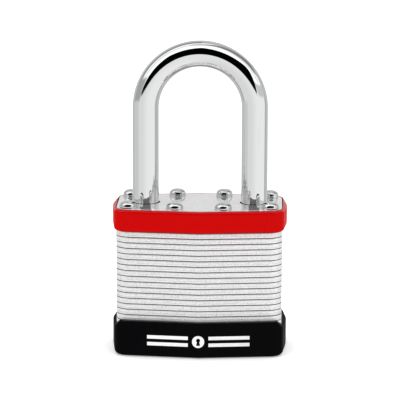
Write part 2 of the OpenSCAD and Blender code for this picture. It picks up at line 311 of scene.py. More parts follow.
def grain_group():
    """Fine grain: stretched noise over the surface, as a height and a blotch mask."""
    tree, n, take, give = group(
        "Metal grain", [("Scale", 1000.0), ("Stretch", (1.0, 1.0, 1.0)), ("Detail", 4.0)],
        ["Height", "Blotch"])
    where = n.add("ShaderNodeTexCoord").outputs["Object"]
    stretched = n.add("ShaderNodeVectorMath", operation="MULTIPLY")
    n.put(stretched.inputs[0], where)
    n.put(stretched.inputs[1], take["Stretch"])
    fine = n.add("ShaderNodeTexNoise", {
        "Vector": stretched.outputs[0], "Scale": take["Scale"], "Detail": take["Detail"],
        "Roughness": 0.6})
    broad = n.add("ShaderNodeTexNoise", {"Vector": where, "Scale": 260.0, "Detail": 3.0})
    n.put(give["Height"], fine.outputs[0])
    n.put(give["Blotch"], n.remap(broad.outputs[0], 0.38, 0.62))
    return tree


def scratch_group():
    """Sparse hairline scratches in two directions, as a mask."""
    tree, n, take, give = group("Hairlines", [("Density", 0.5), ("Scale", 500.0)], ["Mask"])
    where = n.add("ShaderNodeTexCoord").outputs["Object"]
    lines = []
    for turn, squeeze in ((0.5, 0.04), (-0.9, 0.06)):
        placed = n.add("ShaderNodeMapping", {
            "Vector": where, "Rotation": (turn, turn, turn), "Scale": (1.0, squeeze, squeeze)})
        cells = n.add("ShaderNodeTexNoise", {
            "Vector": placed.outputs[0], "Scale": take["Scale"], "Detail": 2.0})
        lines.append(n.remap(cells.outputs[0], n.math("SUBTRACT", 0.78, take["Density"]), 0.80))
    n.put(give["Mask"], n.math("MAXIMUM", lines[0], lines[1]))
    return tree


def dust_group():
    """Specks and faint smears of dust, as a mask."""
    tree, n, take, give = group("Dust and smears", [("Amount", 0.3)], ["Specks", "Smear"])
    where = n.add("ShaderNodeTexCoord").outputs["Object"]
    specks = n.add("ShaderNodeTexVoronoi", {"Vector": where, "Scale": 900.0})
    dots = n.remap(specks.outputs["Distance"], 0.10, 0.05)
    thin = n.add("ShaderNodeTexNoise", {"Vector": where, "Scale": 90.0, "Detail": 5.0})
    patches = n.remap(thin.outputs[0], 0.50, 0.70)
    n.put(give["Specks"], n.math("MULTIPLY", n.math("MULTIPLY", dots, patches), take["Amount"]))
    n.put(give["Smear"], n.math("MULTIPLY", patches, take["Amount"]))
    return tree


def stack_group(base, pitch):
    """Where a point lies in its plate: the seam between plates, and the break of the shear."""
    tree, n, take, give = group(
        "Plate seams", [("Seam", 0.06), ("Break", 0.42)], ["Seam", "Fracture", "Line"])
    where = n.add("ShaderNodeTexCoord").outputs["Object"]
    wobble = n.add("ShaderNodeTexNoise", {"Vector": where, "Scale": 160.0, "Detail": 3.0})
    z = n.add("ShaderNodeSeparateXYZ", {"Vector": where}).outputs["Z"]
    level = n.math("DIVIDE", n.math("SUBTRACT", z, base), pitch)
    share = n.math("FRACT", level)
    edge = n.math("MINIMUM", share, n.math("SUBTRACT", 1.0, share))
    n.put(give["Seam"], n.remap(edge, take["Seam"], n.math("MULTIPLY", take["Seam"], 0.3)))
    wander = n.math("MULTIPLY", n.math("SUBTRACT", wobble.outputs[0], 0.5), 0.5)
    torn = n.math("ADD", take["Break"], wander)
    past = n.math("SUBTRACT", share, torn)
    n.put(give["Fracture"], n.remap(past, 0.05, -0.05))
    n.put(give["Line"], n.remap(n.math("ABSOLUTE", past), 0.09, 0.02))
    return tree


def material(name):
    """A new material, its Principled shader and its node helper."""
    made = bpy.data.materials.new(name)
    made.use_nodes = True
    shader = made.node_tree.nodes["Principled BSDF"]
    return made, shader, Nodes(made.node_tree)


def bump(n, shader, height, distance, strength=1.0):
    """Feeds a height into the shader's normal."""
    node = n.add("ShaderNodeBump", {"Height": height, "Strength": strength, "Distance": distance})
    n.put(shader.inputs["Normal"], node.outputs[0])


def use(n, tree, **values):
    """Places a node group with its own values."""
    node = n.add("ShaderNodeGroup", node_tree=tree)
    for key, value in values.items():
        n.put(node.inputs[key], value)
    return node.outputs


# ---------------------------------------------------------------- finishes

def build_finishes(finish):
    """All materials, in a dictionary by name."""
    low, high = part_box(PLATES[0])
    groups = {
        "grain": grain_group(), "scratch": scratch_group(), "dust": dust_group(),
        "stack": stack_group(low.z, high.z - low.z)}
    return {
        "plate": plate_finish(finish, groups),
        "top": top_plate_finish(finish, groups),
        "rivet": rivet_finish(finish, groups),
        "chrome": chrome_finish(finish, groups),
        "red": band_finish(finish, groups),
        "black": cover_finish(finish, groups),
        "brass": brass_finish("Machined brass", finish.brass, groups, (1.0, 1.0, 0.05)),
        "strip": brass_finish("Rolled brass strip", finish.brass * 1.05, groups, (1.0, 0.1, 0.1)),
        "plug": brass_finish("Turned brass", finish.brass * 0.95, groups, (1.0, 1.0, 1.0)),
        "nickel": steel_finish("Turned nickel", (0.72, 0.71, 0.68), 0.22, groups),
        "hard": steel_finish("Hardened steel", finish.steel, 0.34, groups),
        "spring": steel_finish("Spring wire", finish.steel * 0.9, 0.28, groups)}


def plate_finish(finish, groups):
    """Satin zinc on stamped edges: bright shear, greyer fracture, and painted shade in the seams
    between plates.
    """
    made, shader, n = material("Zinc plated steel")
    seams = use(n, groups["stack"], Seam=0.105, Break=0.40)
    grain = use(n, groups["grain"], Scale=2400.0, Stretch=(1.0, 1.0, 0.8))
    fine = use(n, groups["grain"], Scale=4200.0)
    torn = n.math("MULTIPLY", seams["Fracture"], 0.10)
    base = n.mix(torn, colour(finish.zinc), colour(finish.zinc, 0.80))
    base = n.mix(n.math("MULTIPLY", seams["Line"], 0.16), base, colour(finish.zinc, 0.55))
    mottle = n.remap(grain["Height"], 0.42, 0.66, 0.0, 0.34)
    base = n.mix(mottle, base, colour(finish.zinc, 0.62))
    # painted shade: the colour goes near black along each seam between plates, where the groove would
    # be shaded
    base = n.mix(n.math("MULTIPLY", seams["Seam"], 0.90), base, (0.075, 0.075, 0.075, 1.0))
    n.put(shader.inputs["Base Color"], base)
    n.put(shader.inputs["Metallic"], 0.5)
    rough = n.remap(fine["Height"], 0.3, 0.7, 0.30, 0.46)
    n.put(shader.inputs["Roughness"], n.math("ADD", rough, n.math("MULTIPLY", seams["Fracture"], 0.10)))
    height = n.math("MULTIPLY_ADD", seams["Line"], -0.5, n.math("MULTIPLY", grain["Height"], 0.7))
    bump(n, shader, height, 0.06 * MM)
    return made


def top_plate_finish(finish, groups):
    """The polished top plate: a soft mirror with faint rolling marks, specks and scratches."""
    made, shader, n = material("Polished top plate")
    grain = use(n, groups["grain"], Scale=900.0, Stretch=(0.06, 1.0, 1.0))
    marks = use(n, groups["scratch"], Density=0.16, Scale=700.0)
    dust = use(n, groups["dust"], Amount=0.5)
    seams = use(n, groups["stack"], Seam=0.075, Break=0.40)
    cloud = n.remap(grain["Blotch"], 0.0, 1.0, 0.0, 0.10)
    base = n.mix(cloud, colour(finish.zinc, 0.93), colour(finish.zinc, 0.80))
    base = n.mix(n.math("MULTIPLY", dust["Specks"], 0.5), base, (0.6, 0.6, 0.6, 1.0))
    n.put(shader.inputs["Base Color"], base)
    n.put(shader.inputs["Metallic"], 0.6)
    rough = n.remap(grain["Height"], 0.3, 0.7, 0.07, 0.13)
    rough = n.math("ADD", rough, n.math("MULTIPLY", marks["Mask"], 0.08))
    n.put(shader.inputs["Roughness"], n.math("ADD", rough, n.math("MULTIPLY", seams["Line"], 0.02)))
    bump(n, shader, grain["Height"], 0.006 * MM)
    return made


def rivet_finish(finish, groups):
    """Bright headed steel with small dents from the setting tool."""
    made, shader, n = material("Bright rivet")
    grain = use(n, groups["grain"], Scale=1200.0)
    marks = use(n, groups["scratch"], Density=0.18, Scale=900.0)
    worn = n.math("MULTIPLY", marks["Mask"], 0.3)
    base = n.mix(worn, colour(finish.chrome, 0.96), colour(finish.chrome, 0.7))
    n.put(shader.inputs["Base Color"], base)
    n.put(shader.inputs["Metallic"], 1.0)
    n.put(shader.inputs["Roughness"], n.remap(grain["Blotch"], 0.0, 1.0, 0.08, 0.17))
    bump(n, shader, grain["Blotch"], 0.02 * MM)
    return made


def chrome_finish(finish, groups):
    """Mirror chrome over a polished rod, with hairlines and a trace of orange peel."""
    made, shader, n = material("Mirror chrome")
    grain = use(n, groups["grain"], Scale=420.0, Detail=2.0)
    marks = use(n, groups["scratch"], Density=0.10, Scale=800.0)
    dust = use(n, groups["dust"], Amount=0.3)
    worn = n.math("MULTIPLY", marks["Mask"], 0.12)
    base = n.mix(worn, colour(finish.chrome), colour(finish.chrome, 0.75))
    n.put(shader.inputs["Base Color"], base)
    n.put(shader.inputs["Metallic"], 1.0)
    rough = n.math("MULTIPLY_ADD", marks["Mask"], 0.10, n.math("MULTIPLY", dust["Smear"], 0.08))
    n.put(shader.inputs["Roughness"], n.math("ADD", rough, 0.035))
    bump(n, shader, grain["Height"], 0.006 * MM)
    return made


def plastic(n, shader, groups, base, worn, peel, gloss, rim_gloss):
    """Moulded plastic with orange peel, smears, hairlines and specks, glossier on the rims."""
    grain = use(n, groups["grain"], Scale=600.0, Detail=2.0)
    marks = use(n, groups["scratch"], Density=0.12, Scale=600.0)
    dust = use(n, groups["dust"], Amount=0.35)
    shade = n.mix(n.math("MULTIPLY", marks["Mask"], 0.10), base, worn)
    shade = n.mix(n.math("MULTIPLY", dust["Specks"], 0.25), shade, worn)
    n.put(shader.inputs["Base Color"], shade)
    rough = n.remap(grain["Blotch"], 0.0, 1.0, 0.13, 0.19)
    rough = n.math("ADD", rough, n.math("MULTIPLY", dust["Smear"], 0.12))
    n.put(shader.inputs["Roughness"], n.math("ADD", rough, n.math("MULTIPLY", marks["Mask"], 0.12)))
    bump(n, shader, grain["Height"], peel)
    normal = n.add("ShaderNodeTexCoord").outputs["Normal"]
    up = n.add("ShaderNodeSeparateXYZ", {"Vector": normal}).outputs["Z"]
    kept = n.math("SUBTRACT", 1.0, n.math("MULTIPLY", marks["Mask"], 0.3))
    coat = n.remap(up, 0.2, 0.5, gloss, rim_gloss)
    n.put(shader.inputs["Coat Weight"], n.math("MULTIPLY", coat, kept))
    shader.inputs["Coat Roughness"].default_value = 0.10
    shader.inputs["Specular IOR Level"].default_value = 0.0
    return shade


def band_finish(finish, groups):
    """Glossy red plastic, a little deeper in the thick of the wall."""
    made, shader, n = material("Glossy red plastic")
    tone = use(n, groups["grain"], Scale=200.0)
    deep = n.math("MULTIPLY", tone["Blotch"], 0.25)
    base = n.mix(deep, colour(finish.red), colour(finish.red, 0.95))
    plastic(n, shader, groups, base, (0.80, 0.03, 0.03, 1.0), 0.004 * MM, 0.30, 1.0)
    return made


def cover_finish(finish, groups):
    """Glossy black plastic with a plain printed device on the front."""
    made, shader, n = material("Glossy black plastic")
    shade = plastic(
        n, shader, groups, colour(finish.black), (0.02, 0.02, 0.022, 1.0), 0.005 * MM, 0.20, 0.24)
    print_mask, fade = printed_device(n, groups)
    ink = n.mix(fade, (0.88, 0.88, 0.88, 1.0), (0.70, 0.70, 0.70, 1.0))
    n.put(shader.inputs["Base Color"], n.mix(print_mask, shade, ink))
    return made


def printed_device(n, groups):
    """Masks of a keyhole disc between two pairs of bars on the cover's front, and of the thin ink."""
    low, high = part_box("bottom_cover")
    centre_z = low.z + 0.49 * (high.z - low.z)
    where = n.add("ShaderNodeTexCoord").outputs["Object"]
    part = n.add("ShaderNodeSeparateXYZ", {"Vector": where}).outputs
    x = part["X"]
    z = n.math("SUBTRACT", part["Z"], centre_z)
    away = n.math("ABSOLUTE", x)
    soft = 0.05 * MM

    def inside(value, limit):
        return n.remap(n.math("SUBTRACT", value, limit), soft, -soft)

    def length(a, b):
        return n.math("SQRT", n.math("ADD", n.math("MULTIPLY", a, a), n.math("MULTIPLY", b, b)))

    disc_r, eye_r, eye_z = 1.65 * MM, 0.52 * MM, 0.38 * MM
    slit_middle, slit_half, slit_w, slit_flare = -0.35 * MM, 0.65 * MM, 0.22 * MM, 0.22
    disc = inside(length(x, z), disc_r)
    eye = inside(length(x, n.math("SUBTRACT", z, eye_z)), eye_r)
    depth = n.math("SUBTRACT", 0.3 * MM, z)
    skirt = n.math("MULTIPLY_ADD", depth, slit_flare, slit_w)
    along = inside(n.math("ABSOLUTE", n.math("SUBTRACT", z, slit_middle)), slit_half)
    keyhole = n.math("MAXIMUM", eye, n.math("MULTIPLY", inside(away, skirt), along))
    device = n.math("MULTIPLY", disc, n.math("SUBTRACT", 1.0, keyhole))
    bar_start, bar_end, bar_half = 2.7 * MM, 13.6 * MM, 0.5 * MM
    beside = n.math("ABSOLUTE", n.math("SUBTRACT", away, (bar_start + bar_end) / 2))
    across = inside(beside, (bar_end - bar_start) / 2)
    for level in (0.92 * MM, -0.92 * MM):
        above = n.math("ABSOLUTE", n.math("SUBTRACT", z, level))
        bar = n.math("MULTIPLY", across, inside(above, bar_half))
        device = n.math("MAXIMUM", device, bar)
    front = n.remap(part["Y"], -8 * MM, -9 * MM)
    thin = use(n, groups["dust"], Amount=0.5)
    return n.math("MULTIPLY", device, front), thin["Smear"]


def brass_finish(name, rgb, groups, stretch):
    """Machined brass with tool marks and a little tarnish."""
    made, shader, n = material(name)
    grain = use(n, groups["grain"], Scale=1300.0, Stretch=stretch)
    marks = use(n, groups["scratch"], Density=0.2, Scale=700.0)
    base = n.mix(n.math("MULTIPLY", grain["Blotch"], 0.35), colour(rgb), colour(rgb, 0.68))
    base = n.mix(n.math("MULTIPLY", marks["Mask"], 0.3), base, colour(rgb, 1.12))
    n.put(shader.inputs["Base Color"], base)
    n.put(shader.inputs["Metallic"], 1.0)
    n.put(shader.inputs["Roughness"], n.remap(grain["Height"], 0.3, 0.7, 0.20, 0.36))
    bump(n, shader, grain["Height"], 0.01 * MM)
    return made


def steel_finish(name, rgb, rough, groups):
    """Plain or plated steel with grinding marks."""
    made, shader, n = material(name)
    grain = use(n, groups["grain"], Scale=1600.0, Stretch=(0.2, 1.0, 1.0))
    base = n.mix(n.math("MULTIPLY", grain["Blotch"], 0.4), colour(rgb), colour(rgb, 0.7))
    n.put(shader.inputs["Base Color"], base)
    n.put(shader.inputs["Metallic"], 1.0)
    n.put(shader.inputs["Roughness"], n.remap(grain["Height"], 0.3, 0.7, rough - 0.06, rough + 0.08))
    bump(n, shader, grain["Height"], 0.01 * MM)
    return made


FINISHES = {}


# ---------------------------------------------------------------- operators

class PADLOCK_OT_finishes(Operator):
    """Builds the finishes that the pieces share"""
    bl_idname = "padlock.finishes"
    bl_label = "Finishes"

    def execute(self, context):
        FINISHES.update(build_finishes(context.scene.padlock_finish))
        return {"FINISHED"}


class PADLOCK_OT_plates(Operator):
    """Builds the stack of stamped plates, each with a rolled upper edge and a broken lower one"""
    bl_idname = "padlock.plates"
    bl_label = "Plates"

    def execute(self, context):
        shape = context.scene.padlock_shape
        dice = random.Random(7)
        for node in PLATES:
            low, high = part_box(node)
            bm = merged_copy(node)
            for z, width, segments in (
                (high.z, shape.plate_roll * dice.uniform(0.8, 1.2), 3),
                (low.z, shape.plate_break * dice.uniform(0.7, 1.3), 2),
            ):
                rim = [e for e in level_edges(bm, z) if is_outer(bm, e)]
                bevel(bm, rim, width, segments)
            shift = shape.plate_shift if node not in (PLATES[0], TOP_PLATE) else 0.0
            move = Vector((dice.uniform(-shift, shift), dice.uniform(-shift, shift), 0.0))
            bmesh.ops.translate(bm, verts=bm.verts, vec=move)
            finish = FINISHES["top" if node == TOP_PLATE else "plate"]
            new_piece("stamped_" + node, bm, finish, node)
        return {"FINISHED"}


class PADLOCK_OT_rivets(Operator):
    """Builds the rivets, with domed heads above and flat ones below"""
    bl_idname = "padlock.rivets"
    bl_label = "Rivets"

    def execute(self, context):
        for number, (x, y) in enumerate(rivet_places(), 1):
            bm = bmesh.new()
            line = [bm.verts.new((r, 0.0, z)) for r, z in rivet_profile()]
            for a, b in zip(line, line[1:]):
                bm.edges.new((a, b))
            bmesh.ops.spin(
                bm, geom=bm.verts[:] + bm.edges[:], cent=(0, 0, 0), axis=(0, 0, 1),
                angle=2 * math.pi, steps=48, use_merge=True)
            bmesh.ops.remove_doubles(bm, verts=bm.verts, dist=WELD)
            bmesh.ops.recalc_face_normals(bm, faces=bm.faces)
            bmesh.ops.translate(bm, verts=bm.verts, vec=(x, y, 0.0))
            new_piece(f"rivet_{number}", bm, FINISHES["rivet"], "rivets", smooth=50)
        return {"FINISHED"}


def rivet_places():
    """The centres of the rivets, read from the CAD node's own solids."""
    bm = bmesh.new()
    bm.from_mesh(NODES["rivets"].data)
    bmesh.ops.remove_doubles(bm, verts=bm.verts, dist=WELD)
    left, places = set(bm.verts), []
    while left:
        found, grow = set(), [left.pop()]
        while grow:
            v = grow.pop()
            found.add(v)
            near = [e.other_vert(v) for e in v.link_edges]
            grow += [w for w in near if w in left]
            left.difference_update(near)
        xs, ys = [v.co.x for v in found], [v.co.y for v in found]
        places.append(((min(xs) + max(xs)) / 2, (min(ys) + max(ys)) / 2))
    bm.free()
    return sorted(places)


def rivet_profile():
    """Radius and height of a rivet's outline, from the top of its dome to the foot."""
    head, shank = 2.25 * MM, 1.25 * MM
    rim, undercut = 0.06 * MM, 0.05 * MM
    flatness, fullness = 0.62, 0.85
    low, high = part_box(PLATES[0])[0].z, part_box(TOP_PLATE)[1].z
    foot_end, dome_top = (corner.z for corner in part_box("rivets"))
    dome = [
        (head * math.sin(a) ** fullness, high + (dome_top - high) * math.cos(a) ** flatness)
        for a in (math.radians(d) for d in range(0, 86, 5))]
    foot = [
        (head * math.cos(a), low - (low - foot_end) * math.sin(a))
        for a in (math.radians(d) for d in range(0, 91, 10))]
    return dome + [(head, high + rim), (head - undercut, high), (shank, high), (shank, low)] + foot


class PADLOCK_OT_band(Operator):
    """Builds the glossy band round the top of the stack"""
    bl_idname = "padlock.band"
    bl_label = "Top band"

    def execute(self, context):
        shape = context.scene.padlock_shape
        node = "top_band"
        low_inner_round = 0.2 * MM
        low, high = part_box(node)
        bm = merged_copy(node)
        round_sides(bm, high.x, shape.side_round)
        round_rim(bm, high.z, shape.band_top_round, shape.band_inner_round)
        round_rim(bm, low.z, shape.band_low_round, low_inner_round)
        new_piece("moulded_band", bm, FINISHES["red"], node)
        return {"FINISHED"}


def round_sides(bm, reach, width):
    """Turns the outer ridge of each short wall into a long, flat curve."""
    ridges = [
        e for e in bm.edges
        if all(abs(abs(v.co.x) - reach) < 10 * WELD for v in e.verts)
        and abs(e.verts[0].co.z - e.verts[1].co.z) > MM]
    bevel(bm, ridges, width, 8)


def round_cover_rim(bm, top, width):
    """Rounds the outer edge of the cover's rim, along its faces and down over its shoulders."""
    shoulder = 2.5 * MM
    lowest = top - shoulder
    rim = []
    for edge in sharp_edges(bm, 40):
        upper = [f for f in edge.link_faces if f.normal.z > 0.5 and f.calc_center_median().z > lowest]
        walls = [f for f in edge.link_faces if abs(f.normal.z) < 0.1]
        if len(upper) == 1 and len(walls) == 1:
            middle = (edge.verts[0].co + edge.verts[1].co) / 2
            if Vector((middle.x, middle.y)).dot(walls[0].normal.xy) > 0:
                rim.append(edge)
    bevel(bm, rim, width, 5)


def round_rim(bm, z, outer, inner):
    """Rounds the outer and the inner edge of a wall at one height."""
    edges = [e for e in level_edges(bm, z) if not e.is_boundary and e.calc_face_angle() > 0.5]
    out = {e for e in edges if is_outer(bm, e)}
    rest = [e for e in edges if e not in out]
    bevel(bm, out, outer, 6)
    rest = [e for e in rest if e.is_valid]
    if rest and inner:
        bevel(bm, rest, inner, 3)


class PADLOCK_OT_cover(Operator):
    """Builds the glossy cover under the stack"""
    bl_idname = "padlock.cover"
    bl_label = "Bottom cover"

    def execute(self, context):
        shape = context.scene.padlock_shape
        node = "bottom_cover"
        low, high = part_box(node)
        bm = merged_copy(node)
        round_sides(bm, high.x, shape.side_round)
        round_cover_rim(bm, high.z, shape.cover_top_round)
        round_rim(bm, low.z, shape.cover_low_round, shape.port_round)
        new_piece("moulded_cover", bm, FINISHES["black"], node)
        return {"FINISHED"}


class PADLOCK_OT_shackle(Operator):
    """Builds the shackle: one rod bent round, with its notches, slot and groove"""
    bl_idname = "padlock.shackle"
    bl_label = "Shackle"

    def execute(self, context):
        build_shackle(context.scene.padlock_shape)
        return {"FINISHED"}


def build_shackle(shape):
    """Draws a circle up the heel leg, round the bow and down the toe leg, then cuts it."""
    low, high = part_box("shackle")
    rod = (high.y - low.y) / 2
    leg = high.x - rod
    bow_z = high.z - rod - leg
    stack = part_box(TOP_PLATE)[1].z
    pocket_low, pocket_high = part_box("plate_19")[0].z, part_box("plate_21")[1].z
    toe_gap = 0.5 * MM
    toe_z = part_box("plate_17")[0].z + toe_gap
    bm = bmesh.new()
    ring = bmesh.ops.create_circle(
        bm, cap_ends=True, radius=rod, segments=shape.rod_sides,
        matrix=Matrix.Translation((-leg, 0, low.z)))["verts"]
    edges = list({e for v in ring for e in v.link_edges if len(e.link_faces) == 1})
    z = low.z
    for stop in (pocket_low, pocket_high, stack, bow_z):
        edges = draw_out(bm, edges, (0, 0, stop - z))
        z = stop
    turned = bmesh.ops.spin(
        bm, geom=edges + list({v for e in edges for v in e.verts}), cent=(0, 0, bow_z),
        axis=(0, 1, 0), angle=math.pi, steps=72)["geom_last"]
    edges = only(bmesh.types.BMEdge, turned)
    for stop in (stack, pocket_high, pocket_low, toe_z):
        edges = draw_out(bm, edges, (0, 0, stop - z))
        z = stop
    bmesh.ops.contextual_create(bm, geom=edges)
    bmesh.ops.remove_doubles(bm, verts=bm.verts, dist=WELD)
    bmesh.ops.recalc_face_normals(bm, faces=bm.faces)
    bevel(bm, sharp_edges(bm, 60), shape.rod_end_round, 4)
    piece = new_piece("chromed_shackle", bm, FINISHES["chrome"], "shackle", smooth=40)
    slot_z = low.z + 3.5 * MM
    cutters = [notch_cutter(side, rod, leg, (pocket_low + pocket_high) / 2) for side in (-1, 1)]
    cutters += [slot_cutter(rod, leg, slot_z), groove_cutter(rod, leg, slot_z)]
    cut_piece(piece, cutters)


def notch_cutter(side, rod, leg, middle):
    """The wedge that cuts a bolt's notch in the inner side of a leg."""
    depth, mouth_half, floor_half, past = 1.4 * MM, 2.5 * MM, 1.1 * MM, 1.0 * MM
    floor_x, mouth_x = leg - rod + depth, leg - rod - past
    outline = [
        (floor_x, -floor_half), (mouth_x, -mouth_half - past),
        (mouth_x, mouth_half + past), (floor_x, floor_half)]
    reach = 5 * MM
    bm = bmesh.new()
    face = bm.faces.new([bm.verts.new((side * x, -reach, middle + z)) for x, z in outline])
    made = bmesh.ops.extrude_face_region(bm, geom=[face])["geom"]
    bmesh.ops.translate(bm, verts=only(bmesh.types.BMVert, made), vec=(0, 2 * reach, 0))
    bmesh.ops.recalc_face_normals(bm, faces=bm.faces)
    return bm


def slot_cutter(rod, leg, bottom):
    """The bar that cuts the heel leg's slot in its outer side."""
    depth, wide, tall = 1.2 * MM, 3.0 * MM, 15.6 * MM
    bm = bmesh.new()
    bmesh.ops.create_cube(bm, size=1.0)
    bmesh.ops.scale(bm, verts=bm.verts, vec=(2 * depth, wide, tall))
    bmesh.ops.translate(bm, verts=bm.verts, vec=(-leg - rod, 0, bottom + tall / 2))
    return bm


def groove_cutter(rod, leg, bottom):
    """The ring that cuts the heel leg's turning groove."""
    depth, tall, past = 1.2 * MM, 6.0 * MM, 1.0 * MM
    bm = bmesh.new()
    corners = [(rod - depth, 0.0), (rod + past, 0.0), (rod + past, tall), (rod - depth, tall)]
    bm.faces.new([bm.verts.new((r, 0, z)) for r, z in corners])
    bmesh.ops.spin(
        bm, geom=bm.verts[:] + bm.edges[:] + bm.faces[:], cent=(0, 0, 0), axis=(0, 0, 1),
        angle=2 * math.pi, steps=64, use_merge=True)
    inner_faces = [
        f for f in bm.faces
        if len(f.verts) == 4 and abs(f.calc_center_median().y) < 10 * WELD
        and abs(abs(f.normal.y) - 1) < 0.01]
    bmesh.ops.delete(bm, geom=inner_faces, context="FACES_ONLY")
    bmesh.ops.remove_doubles(bm, verts=bm.verts, dist=WELD)
    bmesh.ops.recalc_face_normals(bm, faces=bm.faces)
    bmesh.ops.translate(bm, verts=bm.verts, vec=(-leg, 0, bottom))
    return bm


def cut_piece(piece, cutters):
    """Takes the cutters' shapes out of a piece's mesh, and removes the cutters."""
    tools = []
    for number, bm in enumerate(cutters):
        mesh = bpy.data.meshes.new(f"cutter_{number}")
        bm.to_mesh(mesh)
        bm.free()
        tool = bpy.data.objects.new(f"cutter_{number}", mesh)
        bpy.context.scene.collection.objects.link(tool)
        cut = piece.modifiers.new(f"cut_{number}", "BOOLEAN")
        cut.operation = "DIFFERENCE"
        cut.object = tool
        cut.solver = "EXACT"
        tools.append(tool)
    bpy.context.view_layer.update()
    evaluated = piece.evaluated_get(bpy.context.evaluated_depsgraph_get())
    piece.data = bpy.data.meshes.new_from_object(evaluated)
    piece.modifiers.clear()
    piece.data.shade_smooth()
    piece.data.set_sharp_from_angle(angle=math.radians(35))
    for tool in tools:
        bpy.data.objects.remove(tool)


class PADLOCK_OT_springs(Operator):
    """Winds the shackle's spring and the five pin springs"""
    bl_idname = "padlock.springs"
    bl_label = "Springs"

    def execute(self, context):
        shape = context.scene.padlock_shape
        low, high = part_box("shackle_spring")
        bm = coil(high.x - low.x, high.z - low.z, shape.heel_wire, 6)
        middle = (low + high) / 2
        bmesh.ops.translate(bm, verts=bm.verts, vec=(middle.x, 0, low.z))
        piece = new_piece(
            "heel_spring", bm, FINISHES["spring"], "shackle_spring", smooth=60, rides=False)
        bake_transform(piece)
        lay_down = Matrix.Rotation(math.radians(-90), 3, "X")
        for number in range(1, 6):
            node = f"pin_spring_{number}"
            low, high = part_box(node)
            middle = (low + high) / 2
            start, end = (middle.x, low.y, middle.z), (middle.x, high.y, middle.z)
            bm = coil(high.x - low.x, high.y - low.y, shape.pin_wire, 5)
            bmesh.ops.rotate(bm, verts=bm.verts, cent=(0, 0, 0), matrix=lay_down)
            bmesh.ops.translate(bm, verts=bm.verts, vec=start)
            piece = new_piece(
                f"wound_{node}", bm, FINISHES["spring"], node, smooth=60, rides=False)
            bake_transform(piece)
        return {"FINISHED"}


def coil(across, tall, wire, turns):
    """A compression spring that stands on z = 0 round the Z axis."""
    bm = bmesh.new()
    r = (across - wire) / 2
    upright = Matrix.Rotation(math.radians(90), 4, "X")
    made = bmesh.ops.create_circle(
        bm, cap_ends=True, radius=wire / 2, segments=12,
        matrix=Matrix.Translation((r, 0, wire / 2)) @ upright)
    steps = turns * 28
    bmesh.ops.spin(
        bm, geom=made["verts"] + bm.edges[:] + bm.faces[:], cent=(0, 0, 0), axis=(0, 0, 1),
        dvec=(0, 0, (tall - wire) / steps), angle=2 * math.pi * turns, steps=steps)
    bmesh.ops.recalc_face_normals(bm, faces=bm.faces)
    return bm


class PADLOCK_OT_works(Operator):
    """Builds the cylinder, the pins, the cam and the bolts, with broken edges"""
    bl_idname = "padlock.works"
    bl_label = "Works"

    def execute(self, context):
        jobs = [
            ("cylinder_housing", "brass", 0.12), ("pin_chamber_cover", "strip", 0.08),
            ("plug", "plug", 0.10), ("cam", "hard", 0.15),
            ("locking_bolt_left", "hard", 0.2), ("locking_bolt_right", "hard", 0.2)]
        jobs += [(f"key_pin_{i}", "plug", 0.15) for i in range(1, 6)]
        jobs += [(f"driver_pin_{i}", "nickel", 0.2) for i in range(1, 6)]
        for node, finish, width in jobs:
            bm = merged_copy(node)
            bevel(bm, sharp_edges(bm, 40), width * MM, 2)
            new_piece("finished_" + node, bm, FINISHES[finish], node)
        return {"FINISHED"}


class PADLOCK_OT_studio(Operator):
    """Sets the stage: a pale floor, a white tent with a dark gap, a softbox and the camera"""
    bl_idname = "padlock.studio"
    bl_label = "Studio"

    def execute(self, context):
        studio = context.scene.padlock_studio
        make_floor()
        make_world(studio)
        make_camera(studio)
        context.scene.view_settings.view_transform = "Standard"
        context.scene.view_settings.gamma = studio.gamma
        return {"FINISHED"}


def make_floor():
    """A pale disc just under the padlock, which glows a little and is clear from below."""
    radius, glow, drop = 6.0, 0.34, 0.1 * MM
    bm = bmesh.new()
    bmesh.ops.create_circle(bm, cap_ends=True, radius=radius, segments=96)
    mesh = bpy.data.meshes.new("floor")
    bm.to_mesh(mesh)
    bm.free()
    floor = bpy.data.objects.new("floor", mesh)
    bpy.context.scene.collection.objects.link(floor)
    made, shader, n = material("Pale floor")
    shader.inputs["Base Color"].default_value = (0.9, 0.9, 0.9, 1.0)
    shader.inputs["Roughness"].default_value = 0.9
    shader.inputs["Specular IOR Level"].default_value = 0.0
    shader.inputs["Emission Color"].default_value = (1.0, 1.0, 1.0, 1.0)
    shader.inputs["Emission Strength"].default_value = glow
    under = n.add("ShaderNodeNewGeometry").outputs["Backfacing"]
    clear = n.add("ShaderNodeBsdfTransparent")
    choice = n.add("ShaderNodeMixShader", {"Fac": under, 1: shader.outputs[0], 2: clear.outputs[0]})
    n.put(made.node_tree.nodes["Material Output"].inputs["Surface"], choice.outputs[0])
    mesh.materials.append(made)
    floor.visible_glossy = False
    floor.location.z = -drop


